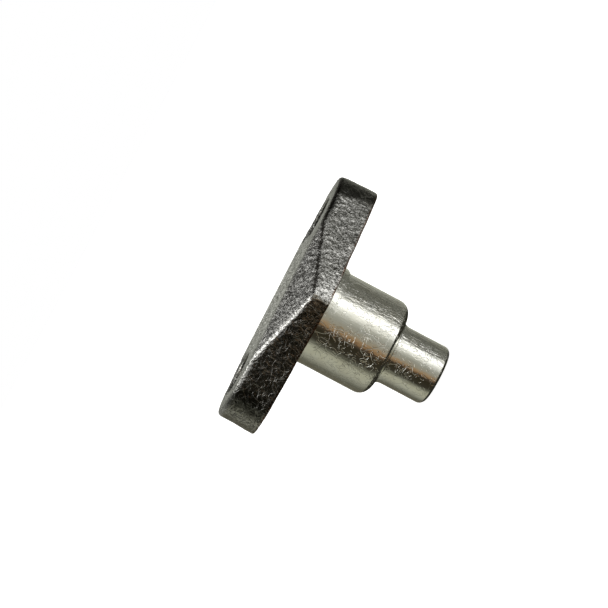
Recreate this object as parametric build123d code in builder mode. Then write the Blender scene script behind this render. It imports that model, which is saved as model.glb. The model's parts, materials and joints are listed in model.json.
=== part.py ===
"""Flanged stepped spindle of a banding wheel: a black lozenge head pressed on a turned steel spindle.

The wheel bolts to the flat outer face of the head, which looks up along +Z. The spindle points down
and turns in the stand. The origin is the centre of the outer face, midway between the bolt holes.
All lengths are in millimetres.
"""
import math
import os

from build123d import *

# Driving dimensions.
JOURNAL_R = 26 / 2
PILOT_R = 16 / 2
BOLT_PITCH = 45
BOLT_HOLE_R = 11 / 2
HEAD_THICKNESS = 10.5
JOURNAL_LENGTH = 21
PILOT_LENGTH = 14
END_R = 11.8                    # round ends of the lozenge, about the bolt holes
CORNER_REACH = 24.6             # from the axis to the sharp point of each blunt corner
WALL_DRAFT = 1.6                # degrees, so that the head is a little larger at its back
FACE_HALF_WIDTH = 14            # each corner facet meets the outer face this far from the axis
FACET_DROP = 5.6                # from the outer face to the lowest point of each facet

# Rounding of the head's edges.
CORNER_R = 1.0
FACE_EDGE_R = 0.9
BACK_EDGE_R = 0.4

# Ends of the two journals. The small journal flares where it meets the shoulder.
JOURNAL_END_R = 3.3
PILOT_END_R = 1.9
FLARE_R = 3.0
FLARE_HEIGHT = 0.8

# Press fit inside the head, and the raised collar where the spindle leaves it. The collar stands
# off centre, so it is proud of the large journal on one side only.
TAIL_R = 9
TAIL_LENGTH = 7.5
TAIL_CHAMFER = 0.6
COLLAR_R = 13.4
COLLAR_LENGTH = 2.6
COLLAR_OFFSET = 0.36
COLLAR_TURN = -9.6              # degrees about Z from +X, towards the proud side

# Centre-drill marks: one in the outer face, and one in the spindle's free end.
DRILL_ANGLE = 60
FACE_MARK_R = 1.0
TIP_MARK_R = 2.4

PITCH_R = BOLT_PITCH / 2
SHOULDER_Z = -HEAD_THICKNESS - JOURNAL_LENGTH
TIP_Z = SHOULDER_Z - PILOT_LENGTH
TAIL_Z = TAIL_LENGTH - HEAD_THICKNESS
FLARE_LENGTH = math.sqrt(FLARE_R**2 - (FLARE_R - FLARE_HEIGHT) ** 2)


def point_on_end(angle):
    """Return the point of the right-hand round end at an angle from +X, in degrees."""
    turn = math.radians(angle)
    return PITCH_R + END_R * math.cos(turn), END_R * math.sin(turn)


def mark_depth(radius):
    """Return the depth of a centre-drill mark with this radius at its mouth."""
    return radius / math.tan(math.radians(DRILL_ANGLE / 2))


os.makedirs("parts", exist_ok=True)

# Each straight wall leaves a blunt corner and runs on into a round end without a kink.
wall_angle = math.degrees(
    math.acos(END_R / math.hypot(PITCH_R, CORNER_REACH)) - math.atan2(PITCH_R, CORNER_REACH)
)
end_angle = 90 - wall_angle

with BuildPart() as flange_head:
    with BuildSketch(Plane.XY) as outline:
        with BuildLine():
            wall = Line((0, CORNER_REACH), point_on_end(end_angle))
            ThreePointArc(wall @ 1, point_on_end(end_angle / 2), point_on_end(0))
            mirror(about=Plane.XZ)
            mirror(about=Plane.YZ)
        make_face()
        fillet(outline.vertices().group_by(Axis.Y)[0] + outline.vertices().group_by(Axis.Y)[-1], CORNER_R)
    extrude(amount=-HEAD_THICKNESS, taper=-WALL_DRAFT)

    # A planar facet cuts each blunt corner, from the outer face to halfway down the corner.
    for side in (-1, 1):
        facet = Plane(
            origin=(0, side * FACE_HALF_WIDTH, 0),
            x_dir=(1, 0, 0),
            z_dir=(0, side * FACET_DROP, CORNER_REACH - FACE_HALF_WIDTH),
        )
        split(bisect_by=facet, keep=Keep.BOTTOM)
    front = flange_head.faces().filter_by(lambda face: face.normal_at().Z > 0.2)
    fillet(front.edges(), FACE_EDGE_R)
    fillet(flange_head.faces().sort_by(Axis.Z)[0].edges(), BACK_EDGE_R)

    with Locations((-PITCH_R, 0, 0), (PITCH_R, 0, 0)):
        Hole(BOLT_HOLE_R)

    # Blind bore for the spindle's tail, open at the back.
    with BuildSketch(Plane.XY.offset(-HEAD_THICKNESS)):
        Circle(TAIL_R)
    extrude(amount=TAIL_LENGTH, mode=Mode.SUBTRACT)

    with BuildSketch(Plane.XZ):
        with BuildLine():
            Polyline((0, 0), (FACE_MARK_R, 0), (0, -mark_depth(FACE_MARK_R)), close=True)
        make_face()
    revolve(axis=Axis.Z, mode=Mode.SUBTRACT)
flange_head.part.label = "flange_head"

with BuildPart() as stepped_spindle:
    with BuildSketch(Plane.XZ):
        with BuildLine():
            body = Polyline(
                (0, TAIL_Z),
                (TAIL_R - TAIL_CHAMFER, TAIL_Z),
                (TAIL_R, TAIL_Z - TAIL_CHAMFER),
                (TAIL_R, -HEAD_THICKNESS),
                (JOURNAL_R, -HEAD_THICKNESS),
                (JOURNAL_R, SHOULDER_Z + JOURNAL_END_R),
            )
            rounding = JernArc(body @ 1, (0, -1), JOURNAL_END_R, -90)
            shoulder = Line(rounding @ 1, (PILOT_R + FLARE_HEIGHT, SHOULDER_Z))
            flare_end = (PILOT_R, SHOULDER_Z - FLARE_LENGTH)
            flare = TangentArc(flare_end, shoulder @ 1, tangent=(0, 1))
            pilot = Line(flare_end, (PILOT_R, TIP_Z + PILOT_END_R))
            tip = JernArc(pilot @ 1, (0, -1), PILOT_END_R, -90)
            Polyline(
                tip @ 1,
                (TIP_MARK_R, TIP_Z),
                (0, TIP_Z + mark_depth(TIP_MARK_R)),
                (0, TAIL_Z),
            )
        make_face()
    revolve(axis=Axis.Z)

    # Collar against the head's back.
    with BuildSketch(Plane.XY.offset(-HEAD_THICKNESS)):
        with PolarLocations(COLLAR_OFFSET, count=1, start_angle=COLLAR_TURN):
            Circle(COLLAR_R)
    extrude(amount=-COLLAR_LENGTH)
stepped_spindle.part.label = "stepped_spindle"

print(f"walls lie at {wall_angle:.1f} degrees to the head's length")
for name, piece in (("flange_head", flange_head), ("stepped_spindle", stepped_spindle)):
    export_step(piece.part, f"parts/{name}.step")
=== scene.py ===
"""Looks of a banding wheel's flanged spindle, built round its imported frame.

The part is a black cast lozenge head, ground flat on its outer face, with a bright turned spindle
pressed into its back. The head looks up along +Z and the spindle points down. Lengths are in metres.
"""

import json
import logging
import math
from dataclasses import dataclass, field
from enum import Enum
from typing import Callable

import bmesh
import bpy
import numpy as np
from mathutils import Matrix, Vector, noise


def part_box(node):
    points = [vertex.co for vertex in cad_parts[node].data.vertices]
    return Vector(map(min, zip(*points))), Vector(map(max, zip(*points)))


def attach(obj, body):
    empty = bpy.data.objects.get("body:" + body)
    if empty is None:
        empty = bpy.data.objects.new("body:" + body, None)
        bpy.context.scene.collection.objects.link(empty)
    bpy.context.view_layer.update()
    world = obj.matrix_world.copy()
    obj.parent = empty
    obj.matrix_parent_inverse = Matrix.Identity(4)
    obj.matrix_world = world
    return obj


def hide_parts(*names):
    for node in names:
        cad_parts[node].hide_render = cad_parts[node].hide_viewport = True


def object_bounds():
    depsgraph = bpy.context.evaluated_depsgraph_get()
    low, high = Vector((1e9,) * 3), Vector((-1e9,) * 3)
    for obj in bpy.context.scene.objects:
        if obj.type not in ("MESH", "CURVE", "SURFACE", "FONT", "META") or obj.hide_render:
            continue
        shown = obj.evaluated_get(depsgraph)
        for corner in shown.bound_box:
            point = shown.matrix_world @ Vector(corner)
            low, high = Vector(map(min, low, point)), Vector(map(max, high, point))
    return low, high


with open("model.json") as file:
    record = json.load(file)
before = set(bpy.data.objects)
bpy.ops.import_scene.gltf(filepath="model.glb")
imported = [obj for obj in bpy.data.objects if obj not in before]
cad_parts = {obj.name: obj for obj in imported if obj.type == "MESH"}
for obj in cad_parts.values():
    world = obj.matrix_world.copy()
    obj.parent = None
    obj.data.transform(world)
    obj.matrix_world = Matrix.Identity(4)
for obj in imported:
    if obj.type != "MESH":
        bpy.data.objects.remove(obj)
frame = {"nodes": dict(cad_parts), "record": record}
CAD_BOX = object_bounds()

MM = 0.001
BODY = "root"
LOG = logging.getLogger("banding_wheel_spindle")

Colour = tuple[float, float, float]


class Node(Enum):
    """The CAD nodes that the pieces stand for."""

    HEAD = "flange_head"
    SPINDLE = "stepped_spindle"


class Slot(Enum):
    """The record's material slots."""

    CASTING = "black_casting"
    STEEL = "turned_steel"


def mount(name: str) -> dict:
    """Look up one of the record's mounts.

    Args:
        name: The mount's name.

    Returns:
        The mount as the record holds it.
    """
    return next(m for m in frame["record"]["mounts"] if m["name"] == name)


def smoothstep(low: float, high: float, value: np.ndarray) -> np.ndarray:
    """Ease from 0 at low to 1 at high.

    Args:
        low: Value where the result leaves 0.
        high: Value where the result reaches 1.
        value: Values to ease.

    Returns:
        The eased values, from 0 to 1.
    """
    t = np.clip((value - low) / (high - low), 0.0, 1.0)
    return t * t * (3.0 - 2.0 * t)


# ---------------------------------------------------------------------------------------------
# Node helpers
# ---------------------------------------------------------------------------------------------


class Tree:
    """A thin wrapper that makes and links the nodes of one shader tree."""

    def __init__(self, tree: bpy.types.NodeTree) -> None:
        """Wrap a tree."""
        self.tree = tree

    def add(self, kind: str, settings: dict | None = None, **inputs: object) -> bpy.types.Node:
        """Add a node, set its properties, and fill or link its inputs.

        Args:
            kind: The node's type without its ShaderNode prefix.
            settings: Node properties, such as the operation of a Math node.
            **inputs: Values or sockets by input name, with underscores for spaces, or i0, i1 for
                inputs that share a name.

        Returns:
            The new node.
        """
        node = self.tree.nodes.new("ShaderNode" + kind)
        for name, value in (settings or {}).items():
            setattr(node, name, value)
        for name, value in inputs.items():
            key = int(name[1:]) if name[0] == "i" and name[1:].isdigit() else name.replace("_", " ")
            self.feed(node.inputs[key], value)
        return node

    def feed(self, socket: bpy.types.NodeSocket, value: object) -> None:
        """Link a socket to another, or set its value.

        Args:
            socket: The input to fill.
            value: A socket to link from, or a plain value.
        """
        if isinstance(value, bpy.types.NodeSocket):
            self.tree.links.new(value, socket)
        else:
            socket.default_value = value

    def math(
        self, operation: str, first: object, second: object = 0.0, clamp: bool = False
    ) -> bpy.types.NodeSocket:
        """Add a Math node.

        Args:
            operation: The node's operation.
            first: First value or socket.
            second: Second value or socket.
            clamp: Whether to keep the result between 0 and 1.

        Returns:
            The result's socket.
        """
        node = self.add("Math", {"operation": operation, "use_clamp": clamp}, i0=first, i1=second)
        return node.outputs[0]

    def span(
        self, value: object, low: float, high: float, to_low: float = 0.0, to_high: float = 1.0
    ) -> bpy.types.NodeSocket:
        """Map a value smoothly from one range to another, clamped.

        Args:
            value: The value to map.
            low: Start of the range that is read.
            high: End of the range that is read.
            to_low: Result at low.
            to_high: Result at high.

        Returns:
            The mapped value's socket.
        """
        node = self.add(
            "MapRange", {"interpolation_type": "SMOOTHSTEP"},
            Value=value, From_Min=low, From_Max=high, To_Min=to_low, To_Max=to_high,
        )
        return node.outputs["Result"]

    def mix(self, share: object, first: object, second: object) -> bpy.types.NodeSocket:
        """Mix two colours.

        Args:
            share: How much of the second colour shows.
            first: First colour or socket.
            second: Second colour or socket.

        Returns:
            The mixed colour's socket.
        """
        node = self.add("Mix", {"data_type": "RGBA", "clamp_factor": True})
        self.feed(node.inputs[0], share)
        self.feed(node.inputs[6], rgba(first))
        self.feed(node.inputs[7], rgba(second))
        return node.outputs[2]

    def attribute(self, name: str) -> bpy.types.NodeSocket:
        """Read a mesh attribute of one number per point."""
        return self.add("Attribute", {"attribute_name": name}).outputs["Fac"]

    def millimetres(self) -> bpy.types.NodeSocket:
        """Return the point's place in the row frame, in millimetres."""
        place = self.add("TexCoord").outputs["Object"]
        return self.add("VectorMath", {"operation": "SCALE"}, i0=place, Scale=1.0 / MM).outputs[0]


def rgba(colour: object) -> object:
    """Give a plain colour an alpha of 1, and leave a socket alone.

    Args:
        colour: A plain colour or a socket.

    Returns:
        The colour with its alpha, or the same socket.
    """
    if isinstance(colour, bpy.types.NodeSocket):
        return colour
    return (*colour, 1.0)


class NodeGroup:
    """A shader node group with named inputs and outputs, built once."""

    def __init__(
        self, name: str, inputs: dict[str, str], outputs: dict[str, str], defaults: dict[str, float]
    ) -> None:
        """Make the group's interface.

        Args:
            name: The group's name.
            inputs: Socket type by input name.
            outputs: Socket type by output name.
            defaults: Default values of float inputs.
        """
        self.group = bpy.data.node_groups.new(name, "ShaderNodeTree")
        for direction, sockets in (("INPUT", inputs), ("OUTPUT", outputs)):
            for label, kind in sockets.items():
                socket = self.group.interface.new_socket(name=label, in_out=direction, socket_type=kind)
                if label in defaults:
                    socket.default_value = defaults[label]
        self.nodes = Tree(self.group)
        self.given = self.group.nodes.new("NodeGroupInput").outputs
        self.wanted = self.group.nodes.new("NodeGroupOutput").inputs

    def place(self, tree: Tree, **inputs: object) -> bpy.types.Node:
        """Put the group in a material.

        Args:
            tree: The material's tree.
            **inputs: Values or sockets by input name, with underscores for spaces.

        Returns:
            The group's node.
        """
        node = tree.tree.nodes.new("ShaderNodeGroup")
        node.node_tree = self.group
        for name, value in inputs.items():
            tree.feed(node.inputs[name.replace("_", " ")], value)
        return node


FLOAT, VECTOR, COLOUR = "NodeSocketFloat", "NodeSocketVector", "NodeSocketColor"


class Effects:
    """The surface effects that the finishes share."""

    def __init__(self) -> None:
        """Build each effect's group."""
        self.grain = self._grain()
        self.worms = self._worms()
        self.curls = self._curls()
        self.blotches = self._blotches()

    @staticmethod
    def _grain() -> NodeGroup:
        """Build fine granular roughness.

        Returns:
            The group, which puts out a height and a mask of its pits.
        """
        group = NodeGroup(
            "fine_grain", {"Place": VECTOR, "Scale": FLOAT, "Detail": FLOAT},
            {"Height": FLOAT, "Pits": FLOAT}, {"Scale": 3.0, "Detail": 3.0},
        )
        n = group.nodes
        speck = n.add(
            "TexNoise", Vector=group.given["Place"], Scale=group.given["Scale"],
            Detail=group.given["Detail"], Roughness=0.6,
        )
        n.feed(group.wanted["Height"], speck.outputs["Fac"])
        n.feed(group.wanted["Pits"], n.span(speck.outputs["Fac"], 0.42, 0.30))
        return group

    @staticmethod
    def _worms() -> NodeGroup:
        """Build a skin of short curly ridges, like wrinkled leather.

        Returns:
            The group, which puts out a height that is 1 on the ridges.
        """
        group = NodeGroup(
            "wrinkle_ridges", {"Place": VECTOR, "Scale": FLOAT, "Width": FLOAT},
            {"Height": FLOAT}, {"Scale": 1.0, "Width": 0.1},
        )
        n = group.nodes
        ridges = []
        for offset in (0.0, 23.0):
            away = (offset, offset, -offset)
            moved = n.add("VectorMath", {"operation": "ADD"}, i0=group.given["Place"], i1=away)
            wave = n.add(
                "TexNoise", Vector=moved.outputs[0], Scale=group.given["Scale"], Detail=1.0, Distortion=0.8,
            )
            apart = n.math("ABSOLUTE", n.math("SUBTRACT", wave.outputs["Fac"], 0.5))
            ridges.append(n.math("SUBTRACT", 1.0, n.math("DIVIDE", apart, group.given["Width"]), clamp=True))
        n.feed(group.wanted["Height"], n.math("MAXIMUM", ridges[0], ridges[1]))
        return group

    @staticmethod
    def _curls() -> NodeGroup:
        """Build fine curly hairline scratches.

        Returns:
            The group, which puts out a mask that is 1 in each scratch.
        """
        group = NodeGroup(
            "curly_hairlines", {"Place": VECTOR, "Scale": FLOAT, "Width": FLOAT, "Cover": FLOAT},
            {"Mask": FLOAT}, {"Scale": 0.5, "Width": 0.05, "Cover": 0.5},
        )
        n = group.nodes
        place, scale = group.given["Place"], group.given["Scale"]
        masks = []
        for turn, offset in ((0.0, 0.0), (2.1, 17.0), (4.4, 41.0)):
            away = (offset, -offset, offset)
            spun = n.add(
                "VectorRotate", {"rotation_type": "AXIS_ANGLE"},
                Vector=place, Axis=(0.3, 0.5, 0.8), Angle=turn,
            )
            moved = n.add("VectorMath", {"operation": "ADD"}, i0=spun.outputs[0], i1=away)
            wave = n.add("TexNoise", Vector=moved.outputs[0], Scale=scale, Detail=1.0, Distortion=0.6)
            contour = n.math("PINGPONG", n.math("MULTIPLY", wave.outputs["Fac"], 6.0), 0.5)
            line = n.math("SUBTRACT", 1.0, n.math("DIVIDE", contour, group.given["Width"]), clamp=True)
            patch_scale = n.math("MULTIPLY", scale, 1.1)
            patch = n.add("TexNoise", Vector=moved.outputs[0], Scale=patch_scale, Detail=1.0)
            shown = n.math("LESS_THAN", patch.outputs["Fac"], group.given["Cover"])
            masks.append(n.math("MULTIPLY", line, shown))
        both = n.math("MAXIMUM", masks[0], masks[1])
        n.feed(group.wanted["Mask"], n.math("MAXIMUM", both, masks[2]))
        return group

    @staticmethod
    def _blotches() -> NodeGroup:
        """Build broad soft patches, for colour and gloss that vary over a surface.

        Returns:
            The group, which puts out a share from 0 to 1.
        """
        group = NodeGroup(
            "soft_blotches", {"Place": VECTOR, "Scale": FLOAT}, {"Share": FLOAT}, {"Scale": 0.25},
        )
        n = group.nodes
        cloud = n.add(
            "TexNoise", Vector=group.given["Place"], Scale=group.given["Scale"], Detail=4.0, Roughness=0.55,
        )
        n.feed(group.wanted["Share"], n.span(cloud.outputs["Fac"], 0.35, 0.65))
        return group


# ---------------------------------------------------------------------------------------------
# Finishes
# ---------------------------------------------------------------------------------------------


class Finish:
    """A surface finish, which makes its own material."""

    name: str

    def open(self) -> tuple[bpy.types.Material, Tree, bpy.types.Node]:
        """Make the material with its Principled shader.

        Returns:
            The material, its tree, and the Principled node.
        """
        material = bpy.data.materials.new(self.name)
        material.use_nodes = True
        tree = Tree(material.node_tree)
        shader = material.node_tree.nodes["Principled BSDF"]
        return material, tree, shader


@dataclass(frozen=True)
class WrinkledSkin(Finish):
    """The black, hard, finely wrinkled skin of the casting.

    Attributes:
        name: The material's name.
        crest: Colour of the wrinkles' crests.
        valley: Colour between the wrinkles, partly the skin's own black and partly painted shade.
        deep: The same where the skin is darker, which on the walls that face left is painted shade.
        rust: Colour of the thin rusty line at the back edge.
        bare: Colour where the skin is rubbed through.
        gloss: Roughness on the crests.
        dull: Roughness in the valleys.
    """

    name: str = "black_wrinkled_skin"
    crest: Colour = (0.72, 0.715, 0.70)
    valley: Colour = (0.036, 0.034, 0.031)
    deep: Colour = (0.050, 0.050, 0.046)
    rust: Colour = (0.24, 0.095, 0.035)
    bare: Colour = (0.50, 0.50, 0.47)
    gloss: float = 0.14
    dull: float = 0.28

    def material(self, effects: Effects) -> bpy.types.Material:
        """Make the material.

        Args:
            effects: The shared effects.

        Returns:
            The material.
        """
        material, n, shader = self.open()
        place = n.millimetres()
        folds = effects.worms.place(n, Place=place, Scale=0.20, Width=0.022).outputs["Height"]
        coarse = effects.worms.place(n, Place=place, Scale=0.95, Width=0.10).outputs["Height"]
        fine = effects.worms.place(n, Place=place, Scale=1.6, Width=0.12).outputs["Height"]
        strokes = effects.curls.place(n, Place=place, Scale=0.24, Width=0.07, Cover=0.46).outputs["Mask"]
        grain = effects.grain.place(n, Place=place, Scale=2.0, Detail=2.0).outputs["Height"]
        blotch = effects.blotches.place(n, Place=place, Scale=0.22).outputs["Share"]
        wear = n.attribute("wear")
        rust = n.attribute("rust")
        darker_skin_and_shade = n.attribute("darker_skin_and_shade")
        # The valleys between the wrinkles are darker and rougher than the crests: partly the skin's own
        # black, partly painted shade in the valleys.
        ridges = n.span(n.math("MAXIMUM", n.math("MULTIPLY", coarse, 0.9), fine), 0.35, 0.80)
        crest = n.math("MULTIPLY", ridges, n.span(grain, 0.30, 0.60, 0.15, 1.0))
        # Where the skin is darker the crests fade; on the walls that face left this is painted shade.
        crest = n.math("MULTIPLY", crest, n.span(darker_skin_and_shade, 0.0, 1.0, 1.0, 0.06))
        colour = n.mix(crest, n.mix(darker_skin_and_shade, self.valley, self.deep), self.crest)
        colour = n.mix(n.math("MULTIPLY", blotch, 0.20), colour, self.valley)
        colour = n.mix(n.math("MULTIPLY", folds, n.math("MULTIPLY", blotch, 0.45)), colour, self.crest)
        colour = n.mix(n.math("MULTIPLY", strokes, 0.22), colour, self.crest)
        colour = n.mix(n.math("MULTIPLY", wear, n.span(fine, 0.0, 1.0, 0.35, 1.0)), colour, self.bare)
        rusty = n.math("MULTIPLY", rust, n.span(blotch, 0.2, 0.7, 0.35, 1.0))
        colour = n.mix(rusty, colour, n.mix(grain, self.deep, self.rust))
        n.feed(shader.inputs["Base Color"], colour)
        shader.inputs["Metallic"].default_value = 1.0
        rough = n.span(fine, 0.0, 1.0, self.dull, self.gloss)
        n.feed(shader.inputs["Roughness"], n.math("ADD", rough, n.math("MULTIPLY", blotch, 0.06)))
        height = n.math("ADD", n.math("MULTIPLY", coarse, 0.017), n.math("MULTIPLY", fine, 0.012))
        height = n.math("MULTIPLY", height, n.span(darker_skin_and_shade, 0.0, 1.0, 1.0, 0.35))
        height = n.math("ADD", height, n.math("MULTIPLY", grain, 0.038))
        height = n.math("ADD", height, n.math("MULTIPLY", folds, 0.018))
        height = n.math("ADD", height, n.math("MULTIPLY", strokes, 0.018))
        bump = n.add("Bump", Strength=1.0, Distance=MM, Height=height)
        n.feed(shader.inputs["Normal"], bump.outputs["Normal"])
        return material


@dataclass(frozen=True)
class GroundFace(Finish):
    """The grey, flat outer face, ground and then dulled by handling.

    Attributes:
        name: The material's name.
        base: Colour of the ground metal.
        stain: Colour of its darker patches.
        gloss: Roughness where the metal is smoothest.
    """

    name: str = "grey_ground_face"
    base: Colour = (0.46, 0.47, 0.42)
    stain: Colour = (0.15, 0.155, 0.13)
    gloss: float = 0.14

    def material(self, effects: Effects) -> bpy.types.Material:
        """Make the material.

        Args:
            effects: The shared effects.

        Returns:
            The material.
        """
        material, n, shader = self.open()
        place = n.millimetres()
        across = n.add("VectorMath", {"operation": "MULTIPLY"}, i0=place, i1=(1.0, 0.12, 1.0)).outputs[0]
        lines = effects.grain.place(n, Place=across, Scale=1.9, Detail=3.0)
        specks = effects.grain.place(n, Place=across, Scale=0.7, Detail=2.0)
        hair = effects.curls.place(n, Place=place, Scale=0.22, Width=0.03, Cover=0.46).outputs["Mask"]
        blotch = effects.blotches.place(n, Place=place, Scale=0.18).outputs["Share"]
        dark = n.math("MULTIPLY", n.span(lines.outputs["Height"], 0.62, 0.38), 0.40)
        colour = n.mix(dark, self.base, self.stain)
        colour = n.mix(n.math("MULTIPLY", specks.outputs["Pits"], 0.6), colour, self.stain)
        colour = n.mix(n.math("MULTIPLY", blotch, 0.25), colour, self.stain)
        n.feed(shader.inputs["Base Color"], colour)
        shader.inputs["Metallic"].default_value = 0.9
        rough = n.span(lines.outputs["Height"], 0.38, 0.62, self.gloss, self.gloss + 0.34)
        n.feed(shader.inputs["Roughness"], n.math("ADD", rough, n.math("MULTIPLY", blotch, 0.08)))
        height = n.math("MULTIPLY", lines.outputs["Height"], 0.17)
        height = n.math("SUBTRACT", height, n.math("MULTIPLY", hair, 0.012))
        bump = n.add("Bump", Strength=1.0, Distance=MM, Height=height)
        n.feed(shader.inputs["Normal"], bump.outputs["Normal"])
        return material


@dataclass(frozen=True)
class TurnedSteel(Finish):
    """Bright turned steel, burnished and covered in fine curly scratches.

    Attributes:
        name: The material's name.
        base: Colour of the steel.
        tint: Colour of its faint yellow stains.
        scratch: Colour inside a scratch.
        gloss: Roughness of the burnished metal.
    """

    name: str = "burnished_turned_steel"
    base: Colour = (0.80, 0.80, 0.765)
    tint: Colour = (0.70, 0.67, 0.57)
    scratch: Colour = (0.50, 0.50, 0.45)
    gloss: float = 0.045

    def material(self, effects: Effects) -> bpy.types.Material:
        """Make the material.

        Args:
            effects: The shared effects.

        Returns:
            The material.
        """
        material, n, shader = self.open()
        place = n.millimetres()
        curls = effects.curls.place(n, Place=place, Scale=0.17, Width=0.042, Cover=0.46).outputs["Mask"]
        small = effects.curls.place(n, Place=place, Scale=0.36, Width=0.075, Cover=0.42).outputs["Mask"]
        marks = n.math("MAXIMUM", curls, small)
        drawn = n.add("VectorMath", {"operation": "MULTIPLY"}, i0=place, i1=(1.0, 1.0, 0.30)).outputs[0]
        streaks = effects.grain.place(n, Place=drawn, Scale=1.2, Detail=3.0).outputs["Height"]
        facing = n.add("SeparateXYZ", i0=n.add("NewGeometry").outputs["Normal"]).outputs[0]
        scuffed = n.span(facing, 0.32, 0.52, 0.030, 0.210)
        grain = effects.grain.place(n, Place=place, Scale=0.9, Detail=3.0).outputs["Height"]
        wave = effects.grain.place(n, Place=place, Scale=0.28, Detail=1.0).outputs["Height"]
        blotch = effects.blotches.place(n, Place=place, Scale=0.3).outputs["Share"]
        colour = n.mix(n.math("MULTIPLY", blotch, 0.30), self.base, self.tint)
        colour = n.mix(n.math("MULTIPLY", marks, 0.40), colour, self.scratch)
        n.feed(shader.inputs["Base Color"], colour)
        shader.inputs["Metallic"].default_value = 1.0
        rough = n.math("ADD", n.math("MULTIPLY", marks, 0.14), n.math("MULTIPLY", blotch, 0.05))
        n.feed(shader.inputs["Roughness"], n.math("ADD", rough, self.gloss))
        height = n.math("ADD", n.math("MULTIPLY", grain, 0.010), n.math("MULTIPLY", wave, 0.05))
        height = n.math("ADD", height, n.math("MULTIPLY", streaks, scuffed))
        height = n.math("SUBTRACT", height, n.math("MULTIPLY", marks, 0.020))
        bump = n.add("Bump", Strength=1.0, Distance=MM, Height=height)
        n.feed(shader.inputs["Normal"], bump.outputs["Normal"])
        return material


# ---------------------------------------------------------------------------------------------
# Flange head
# ---------------------------------------------------------------------------------------------


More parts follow.
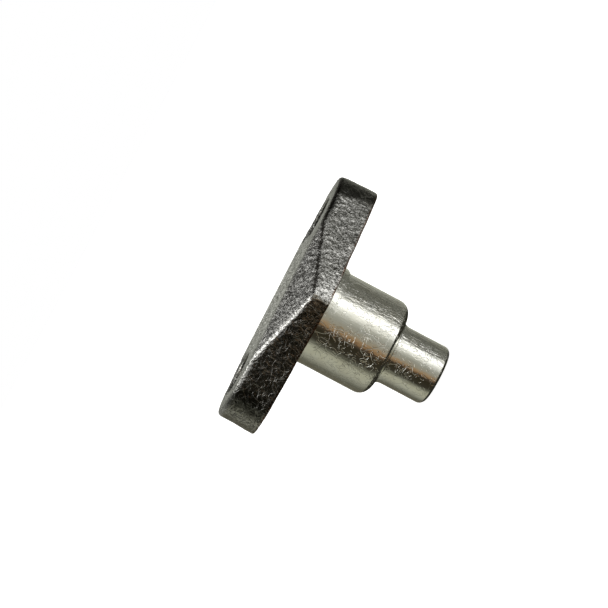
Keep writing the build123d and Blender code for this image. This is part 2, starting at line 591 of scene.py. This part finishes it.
@dataclass
class FlangeHead:
    """The cast head: a lozenge with two bolt holes, faceted at its blunt corners.

    Attributes:
        voxel: Spacing of the mesh over the skin.
        wrinkle: Height of the coarse wrinkles.
        wrinkle_seed: Seed of the wrinkles' bends, so that every run gives the same ones.
        dent: Height of the broad unevenness.
        soft_depth: Depth below the outer face down to which its edges are softer.
        draw_reach: How far from a blunt corner its walls start to draw in, along the back edge.
        draw_turn: How far a wall turns as it draws in, in degrees.
        low_spot: Depth of the spots beside the holes that grinding has missed.
        back_line: Width of the rusty line along the back edge.
        settle_rounds: Rounds of easing that even out the mesh.
        soften_rounds: Rounds of easing that soften the edges.
        hole_r: Radius of the bolt holes.
        hole_x: Distance of the bolt holes from the middle.
        low: Lowest corner of the head's box.
        high: Highest corner of the head's box.
    """

    voxel: float = 0.19 * MM
    wrinkle: float = 0.022 * MM
    wrinkle_seed: int = 7
    dent: float = 0.10 * MM
    soft_depth: float = 7.5 * MM
    draw_reach: float = 11.0 * MM
    draw_turn: float = 10.0
    low_spot: float = 0.30 * MM
    back_line: float = 0.75 * MM
    settle_rounds: int = 3
    soften_rounds: int = 50
    hole_r: float = field(default_factory=lambda: mount("wheel_bolts")["dims"]["hole_r_mm"] * MM)
    hole_x: float = field(default_factory=lambda: mount("wheel_bolts")["dims"]["spacing_x_mm"] / 2 * MM)
    low: Vector = field(default_factory=lambda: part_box(Node.HEAD.value)[0])
    high: Vector = field(default_factory=lambda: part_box(Node.HEAD.value)[1])

    def blank(self) -> bpy.types.Object:
        """Make the smooth head with an even mesh of small quads.

        Returns:
            The new object, in the row frame.
        """
        source = bmesh.new()
        source.from_mesh(frame["nodes"][Node.HEAD.value].data)
        bmesh.ops.remove_doubles(source, verts=source.verts, dist=0.001 * MM)
        mesh = bpy.data.meshes.new("cast_head")
        source.to_mesh(mesh)
        source.free()
        head = bpy.data.objects.new("cast_head", mesh)
        bpy.context.scene.collection.objects.link(head)
        remesh = head.modifiers.new("even", "REMESH")
        remesh.mode = "VOXEL"
        remesh.voxel_size = self.voxel
        graph = bpy.context.evaluated_depsgraph_get()
        applied = bpy.data.meshes.new_from_object(head.evaluated_get(graph))
        head.modifiers.clear()
        head.data = applied
        applied.name = "cast_head"
        return head

    @staticmethod
    def relax(place: np.ndarray, edges: np.ndarray, share: np.ndarray, times: int) -> np.ndarray:
        """Move each point towards the middle of its neighbours, again and again.

        Args:
            place: The points.
            edges: Pairs of points that touch.
            share: How much of the way each point goes each time.
            times: How many times.

        Returns:
            The moved points.
        """
        count = len(place)
        near = np.bincount(edges.ravel(), minlength=count)[:, None]
        for _ in range(times):
            total = np.stack([
                np.bincount(edges[:, 0], place[edges[:, 1], k], count)
                + np.bincount(edges[:, 1], place[edges[:, 0], k], count)
                for k in range(3)
            ], 1)
            place = place + (total / near - place) * share[:, None]
        return place

    def missed(self, place: np.ndarray, cloud: np.ndarray) -> np.ndarray:
        """Return 1 in the low spots beside the holes, and 0 elsewhere.

        Args:
            place: The points.
            cloud: Broad noise at the points, which makes the spots' edges ragged.

        Returns:
            The mask.
        """
        along = np.abs(np.abs(place[:, 0]) - self.hole_x) / self.hole_r + 0.45 * cloud
        across = place[:, 1] / self.hole_r + 0.55 * cloud
        narrowed = along + 0.12 / np.clip(across, 0.1, None)
        return smoothstep(1.25, 0.85, narrowed) * smoothstep(0.0, 0.5, across)

    def draw_in(self, place: np.ndarray, normal: np.ndarray) -> np.ndarray:
        """Draw the walls in a little near the blunt corners, most at the back edge.

        Args:
            place: The points.
            normal: The points' normals.

        Returns:
            How far each point moves across the head, towards its middle.
        """
        x, y = np.abs(place[:, 0]), np.abs(place[:, 1])
        middle = (x > 4.0 * MM) & (x < 10.0 * MM) & (np.abs(normal[:, 2]) < 0.1) & (y > 15.0 * MM)
        facing = np.abs(normal[middle]).mean(0)
        outward = x * facing[0] + y * facing[1]
        behind = outward[middle].max() - outward
        depth = np.clip(place[:, 2] / self.low.z, 0.0, 1.0)
        reach = self.draw_reach * smoothstep(0.30, 1.0, depth) + 0.5 * MM
        side_reach = np.where(place[:, 0] > 0.0, reach, 2.0 * reach)
        past = np.clip(1.0 - x / side_reach, 0.0, None)
        pull = reach / 2.0 * math.tan(math.radians(self.draw_turn)) * past ** 2 / facing[1]
        return pull * smoothstep(5.0 * MM, 0.6 * MM, behind)

    def roughen(self, head: bpy.types.Object) -> None:
        """Soften the edges and press wrinkles and dents into the skin, leaving the ground face flat.

        Args:
            head: The blank head, whose mesh is changed.
        """
        mesh = head.data
        count = len(mesh.vertices)
        place = np.zeros(count * 3, np.float32)
        mesh.vertices.foreach_get("co", place)
        place = place.reshape(-1, 3).astype(float)
        edges = np.zeros(len(mesh.edges) * 2, np.int32)
        mesh.edges.foreach_get("vertices", edges)
        edges = edges.reshape(-1, 2)
        place = self.relax(place, edges, np.full(count, 0.5), self.settle_rounds)
        # Edges are softened all round above the soft depth. Those of the bolt holes stay crisp, and so
        # does the ground face's own edge in the middle of the head.
        outer = smoothstep(-self.soft_depth, -0.85 * self.soft_depth, place[:, 2])
        beside = 0.15 + 0.85 * smoothstep(12.0 * MM, 22.0 * MM, np.abs(place[:, 0]))
        bore = smoothstep(1.3, 1.1, np.hypot(np.abs(place[:, 0]) - self.hole_x, place[:, 1]) / self.hole_r)
        inner = 0.8 * smoothstep(-1.0 * MM, -2.2 * MM, place[:, 2])
        share = 0.5 * outer * np.maximum(beside, inner) * (1.0 - bore)
        place = self.relax(place, edges, share, self.soften_rounds)
        mesh.vertices.foreach_set("co", place.astype(np.float32).ravel())
        mesh.update()
        normal = np.zeros(count * 3, np.float32)
        mesh.vertex_normals.foreach_get("vector", normal)
        normal = normal.reshape(-1, 3).astype(float)
        wrinkles = np.empty(count)
        dents = np.empty(count)
        noise.seed_set(self.wrinkle_seed)
        for i, (x, y, z) in enumerate(place / MM):
            point = Vector((x, y, z))
            bend = noise.noise_vector(point * 0.55) * 0.9
            wrinkles[i] = noise.ridged_multi_fractal((point + bend) * 0.62, 0.9, 2.1, 3, 1.0, 1.8)
            dents[i] = noise.fractal(point * 0.17, 1.0, 2.0, 3)
        wrinkles -= wrinkles.mean()
        wrinkles /= max(wrinkles.std(), 1e-9)
        # The ground face is what looks straight up at the very top, apart from the low spots.
        ground = smoothstep(0.90, 0.97, normal[:, 2]) * smoothstep(-0.5 * MM, -0.05 * MM, place[:, 2])
        missed = self.missed(place, dents) * ground
        ground = ground - missed
        skin = 1.0 - ground
        push = (skin + 4.0 * missed) * self.wrinkle * np.clip(wrinkles, -2.2, 1.8) + skin * self.dent * dents
        push -= self.low_spot * missed
        place[:, 1] -= np.sign(place[:, 1]) * self.draw_in(place, normal)
        place += normal * push[:, None]
        place = np.clip(place, np.array(self.low), np.array(self.high))
        mesh.vertices.foreach_set("co", place.astype(np.float32).ravel())
        mesh.update()
        self.mark(mesh, place, normal, ground, missed)

    def mark(
        self, mesh: bpy.types.Mesh, place: np.ndarray, normal: np.ndarray,
        ground: np.ndarray, missed: np.ndarray,
    ) -> None:
        """Store where the skin is worn or rusty and where it is darker, partly as painted shade, and give the
        ground face its own material.

        Args:
            mesh: The head's mesh.
            place: Its points.
            normal: The points' normals before roughening.
            ground: 1 on the ground face, 0 on the skin.
            missed: 1 in the low spots beside the holes.
        """
        drop = self.high.z - place[:, 2]
        skin = 1.0 - ground
        rise = place[:, 2] - self.low.z
        outside = smoothstep(0.1, 0.5, np.hypot(normal[:, 0], normal[:, 1]))
        rust = smoothstep(self.back_line, 0.1 * MM, rise) * outside
        # Darker skin: the right-hand end and the edge beside it, the left-hand end short of its tip, the low
        # spots that grinding missed and, slightly, the rest of the right-hand side. The walls that face left
        # are darkened as painted shade.
        along = place[:, 0] / self.high.x
        darker_skin_and_shade = smoothstep(0.745, 0.83, along - 0.3 * drop / self.high.x)
        edge = smoothstep(2.4 * MM, 0.9 * MM, drop) * smoothstep(0.50, 0.68, along) * skin
        short_of_end = smoothstep(0.985, 0.89, -along)
        base = smoothstep(0.70, 0.80, -along) * short_of_end
        # Painted shade: the walls that face left are darkened.
        left_wall_shade = 0.64 * smoothstep(-0.28, -0.42, normal[:, 0]) * short_of_end
        sides = left_wall_shade + 0.25 * smoothstep(0.15, 0.70, along)
        darker_skin_and_shade = np.max([darker_skin_and_shade, 0.8 * edge, base, 0.9 * missed, sides], 0)
        # Worn skin: the rim of the ground face and the tip of the left-hand end.
        rim = smoothstep(0.55 * MM, 0.15 * MM, drop) * skin
        worn = np.maximum(rim, 0.5 * smoothstep(0.955, 0.99, -along))
        for name, values in (("wear", worn), ("rust", rust), ("darker_skin_and_shade", darker_skin_and_shade)):
            layer = mesh.attributes.new(name, "FLOAT", "POINT")
            layer.data.foreach_set("value", values.astype(np.float32))
        corners = np.zeros(len(mesh.polygons) * 4, np.int32)
        mesh.polygons.foreach_get("vertices", corners)
        flat = ground[corners.reshape(-1, 4)].mean(1) > 0.5
        mesh.polygons.foreach_set("material_index", flat.astype(np.int32))

    def build(self, effects: Effects) -> bpy.types.Object:
        """Build the head and dress it.

        Args:
            effects: The shared effects.

        Returns:
            The finished piece.
        """
        head = self.blank()
        head.data.materials.clear()
        head.data.materials.append(WrinkledSkin().material(effects))
        head.data.materials.append(GroundFace().material(effects))
        self.roughen(head)
        head.data.shade_smooth()
        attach(head, BODY)
        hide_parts(Node.HEAD.value)
        return head


# ---------------------------------------------------------------------------------------------
# Stepped spindle
# ---------------------------------------------------------------------------------------------


@dataclass
class SteppedSpindle:
    """The turned spindle: a tail in the head, a large journal, a shoulder and a small journal.

    Attributes:
        spokes: Points round each ring of the mesh.
        step: Longest distance between rings.
        tail_r: Radius of the tail inside the head.
        large_end_r: Rounding at the end of the large journal.
        small_end_r: Rounding at the free end.
        flare_r: Radius of the flare where the small journal meets the shoulder.
        flare_height: How far the flare stands above the small journal.
        collar_r: Radius of the collar against the head.
        collar_length: Length of the collar's flat.
        collar_bevel: Length of the slope from the collar to the journal.
        collar_offset: How far the collar stands off centre.
        collar_turn: Side where the collar is proud, in degrees about Z.
        mark_r: Radius of the centre-drill mark in the free end.
        large_r: Radius of the large journal.
        small_r: Radius of the small journal.
        top: Height of the tail's top.
        tip: Height of the free end.
        head_back: Height of the head's back face.
    """

    spokes: int = 320
    step: float = 0.22 * MM
    tail_r: float = 9.0 * MM
    large_end_r: float = 3.3 * MM
    small_end_r: float = 1.9 * MM
    flare_r: float = 3.0 * MM
    flare_height: float = 0.8 * MM
    collar_r: float = 13.4 * MM
    collar_length: float = 1.9 * MM
    collar_bevel: float = 1.5 * MM
    collar_offset: float = 0.36 * MM
    collar_turn: float = -9.6
    mark_r: float = 2.4 * MM
    large_r: float = field(default_factory=lambda: mount("large_journal")["dims"]["r_mm"] * MM)
    small_r: float = field(default_factory=lambda: mount("small_journal")["dims"]["r_mm"] * MM)
    top: float = field(default_factory=lambda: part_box(Node.SPINDLE.value)[1].z)
    tip: float = field(default_factory=lambda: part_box(Node.SPINDLE.value)[0].z)
    head_back: float = field(default_factory=lambda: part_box(Node.HEAD.value)[0].z)

    def shoulder(self) -> float:
        """Return the height of the shoulder's flat."""
        journal = mount("large_journal")
        return journal["pos_m"][2] - journal["dims"]["length_mm"] / 2 * MM - self.large_end_r

    @staticmethod
    def arc(
        centre: tuple[float, float], radius: float, start: float, end: float
    ) -> list[tuple[float, float]]:
        """Find points of an arc in the (radius, height) plane.

        Args:
            centre: Middle of the arc.
            radius: Radius of the arc.
            start: First angle in degrees, 0 along +radius and 90 along +height.
            end: Last angle in degrees.

        Returns:
            The points, ends included.
        """
        turns = np.radians(np.linspace(start, end, 13))
        return [(centre[0] + radius * math.cos(t), centre[1] + radius * math.sin(t)) for t in turns]

    def profile(self) -> np.ndarray:
        """Draw the turned outline, from the tail's top to the tip's centre.

        Returns:
            Rows of radius and height.
        """
        shoulder = self.shoulder()
        chamfer = 0.6 * MM
        rise = self.flare_r - self.flare_height
        sweep = math.degrees(math.acos(rise / self.flare_r))
        flare_length = self.flare_r * math.sin(math.radians(sweep))
        points = [(0.0, self.top), (self.tail_r - chamfer, self.top), (self.tail_r, self.top - chamfer)]
        points += [(self.tail_r, self.head_back), (self.large_r, self.head_back)]
        large_end = (self.large_r - self.large_end_r, shoulder + self.large_end_r)
        points += self.arc(large_end, self.large_end_r, 0, -90)
        flare_centre = (self.small_r + self.flare_r, shoulder - flare_length)
        points += self.arc(flare_centre, self.flare_r, 180 - sweep, 180)
        small_end = (self.small_r - self.small_end_r, self.tip + self.small_end_r)
        points += self.arc(small_end, self.small_end_r, 0, -90)
        depth = self.mark_r / math.tan(math.radians(30))
        points += [(self.mark_r, self.tip), (0.0, self.tip + depth)]
        return self.resample(np.array(points))

    def resample(self, points: np.ndarray) -> np.ndarray:
        """Add points so that no two in a row are further apart than the mesh's step.

        Args:
            points: The outline's corners and arc points.

        Returns:
            The outline with the points added.
        """
        rows = [points[0]]
        for a, b in zip(points[:-1], points[1:]):
            parts = max(1, math.ceil(np.linalg.norm(b - a) / self.step))
            rows += [a + (b - a) * (k + 1) / parts for k in range(parts)]
        return np.array(rows)

    def collar(self, height: np.ndarray, turn: np.ndarray) -> np.ndarray:
        """Return how far out the collar reaches at each height and angle, or 0 below it.

        Args:
            height: Heights in the row frame.
            turn: Angles about Z, in radians.

        Returns:
            The collar's radius.
        """
        side = turn - math.radians(self.collar_turn)
        full = self.collar_r + self.collar_offset * np.cos(side)
        below = self.head_back - height
        slope = smoothstep(self.collar_length, self.collar_length + self.collar_bevel, below)
        inside_head = below < -1e-9
        return np.where(inside_head | (slope >= 1.0), 0.0, full + (self.large_r - full) * slope)

    def lathe(self) -> bpy.types.Mesh:
        """Turn the outline into a closed mesh, with the collar and the wear of handling.

        Returns:
            The mesh.
        """
        rows = self.profile()
        turns = np.linspace(0, 2 * math.pi, self.spokes, endpoint=False)
        body = rows[1:-1]
        radius = np.repeat(body[:, :1], self.spokes, 1)
        height = np.repeat(body[:, 1:], self.spokes, 1)
        turn = np.repeat(turns[None, :], len(body), 0)
        on_journal = radius >= self.large_r - 1e-9
        radius = np.where(on_journal, np.maximum(radius, self.collar(height, turn)), radius)
        ripple = np.zeros_like(radius)
        for index in np.ndindex(radius.shape):
            where = Vector((math.cos(turn[index]), math.sin(turn[index]), height[index] / MM * 0.09))
            ripple[index] = noise.fractal(where * 2.3, 1.0, 2.0, 3)
        open_air = height < self.head_back - 0.05 * MM
        radius = radius + np.where(open_air & (radius > self.mark_r * 1.02), 0.010 * MM * (ripple - 0.5), 0.0)
        ring = np.stack([radius * np.cos(turn), radius * np.sin(turn), height], -1).reshape(-1, 3)
        start, end = (0.0, 0.0, rows[0, 1]), (0.0, 0.0, rows[-1, 1])
        verts = [start, *map(tuple, ring), end]
        faces = []
        wheel = [(s, (s + 1) % self.spokes) for s in range(self.spokes)]
        for a, b in wheel:
            faces.append((0, 1 + a, 1 + b))
        for row in range(len(body) - 1):
            base = 1 + row * self.spokes
            for a, b in wheel:
                faces.append((base + a, base + self.spokes + a, base + self.spokes + b, base + b))
        last = 1 + (len(body) - 1) * self.spokes
        for a, b in wheel:
            faces.append((last + a, len(verts) - 1, last + b))
        mesh = bpy.data.meshes.new("spindle")
        mesh.from_pydata(verts, [], faces)
        return mesh

    def build(self, effects: Effects) -> bpy.types.Object:
        """Build the spindle and dress it.

        Args:
            effects: The shared effects.

        Returns:
            The finished piece.
        """
        mesh = self.lathe()
        checked = bmesh.new()
        checked.from_mesh(mesh)
        bmesh.ops.recalc_face_normals(checked, faces=checked.faces)
        checked.to_mesh(mesh)
        checked.free()
        mesh.materials.append(TurnedSteel().material(effects))
        mesh.set_sharp_from_angle(angle=math.radians(50))
        spindle = bpy.data.objects.new("turned_spindle", mesh)
        bpy.context.scene.collection.objects.link(spindle)
        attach(spindle, BODY)
        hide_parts(Node.SPINDLE.value)
        return spindle


# ---------------------------------------------------------------------------------------------
# Studio
# ---------------------------------------------------------------------------------------------


Stops = tuple[tuple[int, Colour], ...]

# Colours of the light tent. Those of its wall and of the slope above it stand at the angle, in
# degrees to the right, that a surface must face to mirror them to the front.
WALL: Stops = (
    (-90, (0.30, 0.30, 0.25)),
    (-75, (0.12, 0.11, 0.075)),
    (-63, (0.14, 0.14, 0.11)),
    (-54, (0.32, 0.32, 0.26)),
    (-47, (0.42, 0.42, 0.33)),
    (-38, (0.43, 0.43, 0.33)),
    (-32, (0.15, 0.15, 0.115)),
    (-27, (0.040, 0.036, 0.025)),
    (-16, (0.030, 0.025, 0.014)),
    (-11, (0.055, 0.043, 0.030)),
    (-8, (0.28, 0.17, 0.085)),
    (-5, (0.36, 0.25, 0.145)),
    (-2, (0.33, 0.30, 0.23)),
    (6, (0.36, 0.36, 0.31)),
    (11, (0.50, 0.50, 0.44)),
    (15, (0.88, 0.88, 0.81)),
    (19, (1.20, 1.20, 1.13)),
    (23, (1.90, 1.90, 1.84)),
    (27, (1.90, 1.90, 1.85)),
    (31, (0.90, 0.90, 0.86)),
    (35, (0.34, 0.34, 0.31)),
    (39, (0.05, 0.05, 0.040)),
    (45, (0.32, 0.32, 0.28)),
    (51, (0.035, 0.035, 0.028)),
    (57, (0.25, 0.25, 0.21)),
    (62, (0.05, 0.05, 0.040)),
    (68, (0.26, 0.26, 0.22)),
    (90, (0.60, 0.61, 0.51)),
)
SLOPE: Stops = (
    (-90, (0.30, 0.30, 0.26)),
    (-42, (0.34, 0.34, 0.31)),
    (-20, (0.50, 0.50, 0.47)),
    (-14, (2.60, 2.60, 2.50)),
    (-7, (4.40, 4.40, 4.30)),
    (-2, (1.40, 1.40, 1.33)),
    (2, (0.34, 0.335, 0.31)),
    (12, (0.20, 0.196, 0.185)),
    (18, (0.035, 0.032, 0.027)),
    (60, (0.025, 0.023, 0.019)),
    (90, (0.20, 0.20, 0.17)),
)

SHOULDER: Colour = (0.12, 0.118, 0.111)
TOP: Colour = (1.01, 1.01, 0.93)
UNDERSIDE: Colour = (0.028, 0.027, 0.020)


@dataclass(frozen=True)
class Studio:
    """Pale floor, light tent and camera.

    Attributes:
        azimuth: Camera's angle about Z, 0 looking along +Y.
        elevation: Camera's angle above the horizon.
        roll: Turn of the camera about its own axis.
        distance: Distance from the part's origin to the camera's plane.
        aside: How far the camera stands off the origin, along its own right and up.
        spread: Width that the camera sees, over its distance.
        sensor: Width of the camera's sensor, in millimetres.
    """

    azimuth: float = -9.03
    elevation: float = 4.69
    roll: float = 62.1
    distance: float = 0.7595
    aside: tuple[float, float] = (6.31 * MM, -2.51 * MM)
    spread: float = 0.20267
    sensor: float = 36.0

    def floor(self) -> None:
        """Lay the pale floor just below the spindle's tip."""
        bpy.ops.mesh.primitive_plane_add(size=20.0, location=(0, 0, CAD_BOX[0].z - 0.5 * MM))
        floor = bpy.context.active_object
        floor.name = "floor"
        material = bpy.data.materials.new("pale_floor")
        material.use_nodes = True
        shader = material.node_tree.nodes["Principled BSDF"]
        shader.inputs["Base Color"].default_value = (0.9, 0.9, 0.9, 1.0)
        shader.inputs["Roughness"].default_value = 0.9
        shader.inputs["Emission Color"].default_value = (1.0, 1.0, 1.0, 1.0)
        shader.inputs["Emission Strength"].default_value = 0.9
        floor.data.materials.append(material)
        floor.visible_glossy = False
        floor.visible_diffuse = False

    @staticmethod
    def sheet(n: Tree, facing: bpy.types.NodeSocket, stops: Stops) -> bpy.types.NodeSocket:
        """Colour one sheet of the tent all round.

        Args:
            n: The world's tree.
            facing: How far a surface faces to the right, from 0 for fully left to 1.
            stops: The sheet's colours.

        Returns:
            The sheet's colour.
        """
        ramp = n.add("ValToRGB", i0=facing)
        elements = ramp.color_ramp.elements
        elements[0].color = rgba(stops[0][1])
        elements[-1].color = rgba(stops[-1][1])
        for angle, colour in stops[1:-1]:
            elements.new((angle + 90.0) / 180.0).color = rgba(colour)
        return ramp.outputs["Color"]

    def world(self) -> None:
        """Build the light tent round the part. The camera itself sees plain white.

        The tent is laid out by how a surface must face to mirror each spot of it towards the
        front, so its sheets bend with the directions halfway between the front and the spot.
        """
        world = bpy.data.worlds.new("light_tent")
        bpy.context.scene.world = world
        world.use_nodes = True
        world.node_tree.nodes.clear()
        n = Tree(world.node_tree)
        rise = math.radians(self.elevation)
        way = n.add("TexCoord").outputs["Generated"]
        turn_back = -math.radians(self.azimuth)
        turned = n.add("VectorRotate", {"rotation_type": "Z_AXIS"}, Vector=way, Angle=turn_back)
        front = (0.0, -math.cos(rise), math.sin(rise))
        half = n.add("VectorMath", {"operation": "ADD"}, i0=turned.outputs[0], i1=front).outputs[0]
        parts = n.add("SeparateXYZ", i0=half).outputs
        level = n.add("VectorMath", {"operation": "MULTIPLY"}, i0=half, i1=(1.0, 1.0, 0.0)).outputs[0]
        reach = n.add("VectorMath", {"operation": "LENGTH"}, i0=level).outputs["Value"]
        turn = n.math("ARCTAN2", parts["X"], n.math("MULTIPLY", parts["Y"], -1.0))
        facing = n.add("MapRange", Value=turn, From_Min=-math.pi / 2, From_Max=math.pi / 2).outputs["Result"]
        tilt = n.math("MULTIPLY", n.math("ARCTAN2", parts["Z"], reach), math.degrees(1.0))
        # From the wall up to the top, by how far a surface must tilt up, in degrees. Last, below.
        light = self.sheet(n, facing, WALL)
        light = n.mix(n.span(tilt, 7.0, 20.0), light, self.sheet(n, facing, SLOPE))
        light = n.mix(n.span(tilt, 48.0, 60.0, 0.0, 0.65), light, SHOULDER)
        light = n.mix(n.span(tilt, 78.0, 88.0), light, TOP)
        light = n.mix(n.span(tilt, -35.0, -39.0), light, UNDERSIDE)
        seen = n.add("LightPath").outputs["Is Camera Ray"]
        tent = n.add("Background", Color=light, Strength=1.0)
        white = n.add("Background", Color=(1.0, 1.0, 1.0, 1.0), Strength=1.0)
        both = n.add("MixShader", i0=seen, i1=tent.outputs[0], i2=white.outputs[0])
        n.add("OutputWorld", Surface=both.outputs[0])

    def camera(self) -> None:
        """Stand the camera at its angle, with its roll, and make it the scene's."""
        a, e, r = (math.radians(v) for v in (self.azimuth, self.elevation, self.roll))
        back = Vector((math.sin(a) * math.cos(e), -math.cos(a) * math.cos(e), math.sin(e)))
        level = Vector((math.cos(a), math.sin(a), 0.0))
        upright = back.cross(level)
        right = level * math.cos(r) - upright * math.sin(r)
        up = level * math.sin(r) + upright * math.cos(r)
        data = bpy.data.cameras.new("camera")
        data.sensor_width = self.sensor
        data.lens = self.sensor / self.spread
        data.clip_start = 0.01
        camera = bpy.data.objects.new("camera", data)
        bpy.context.scene.collection.objects.link(camera)
        turn = Matrix((right, up, back)).transposed().to_4x4()
        place = back * self.distance + right * self.aside[0] + up * self.aside[1]
        camera.matrix_world = Matrix.Translation(place) @ turn
        bpy.context.scene.camera = camera

    def build(self) -> None:
        """Set up the whole studio."""
        bpy.context.scene.view_settings.view_transform = "Standard"
        self.floor()
        self.world()
        self.camera()


def main() -> None:
    """Build the studio and the pieces, and report each piece."""
    logging.basicConfig(level=logging.INFO, format="%(name)s: %(message)s")
    effects = Effects()
    Studio().build()
    makers: tuple[Callable[[Effects], bpy.types.Object], ...] = (FlangeHead().build, SteppedSpindle().build)
    for make in makers:
        piece = make(effects)
        LOG.info("%s has %d faces", piece.name, len(piece.data.polygons))


if __name__ == "__main__":
    main()
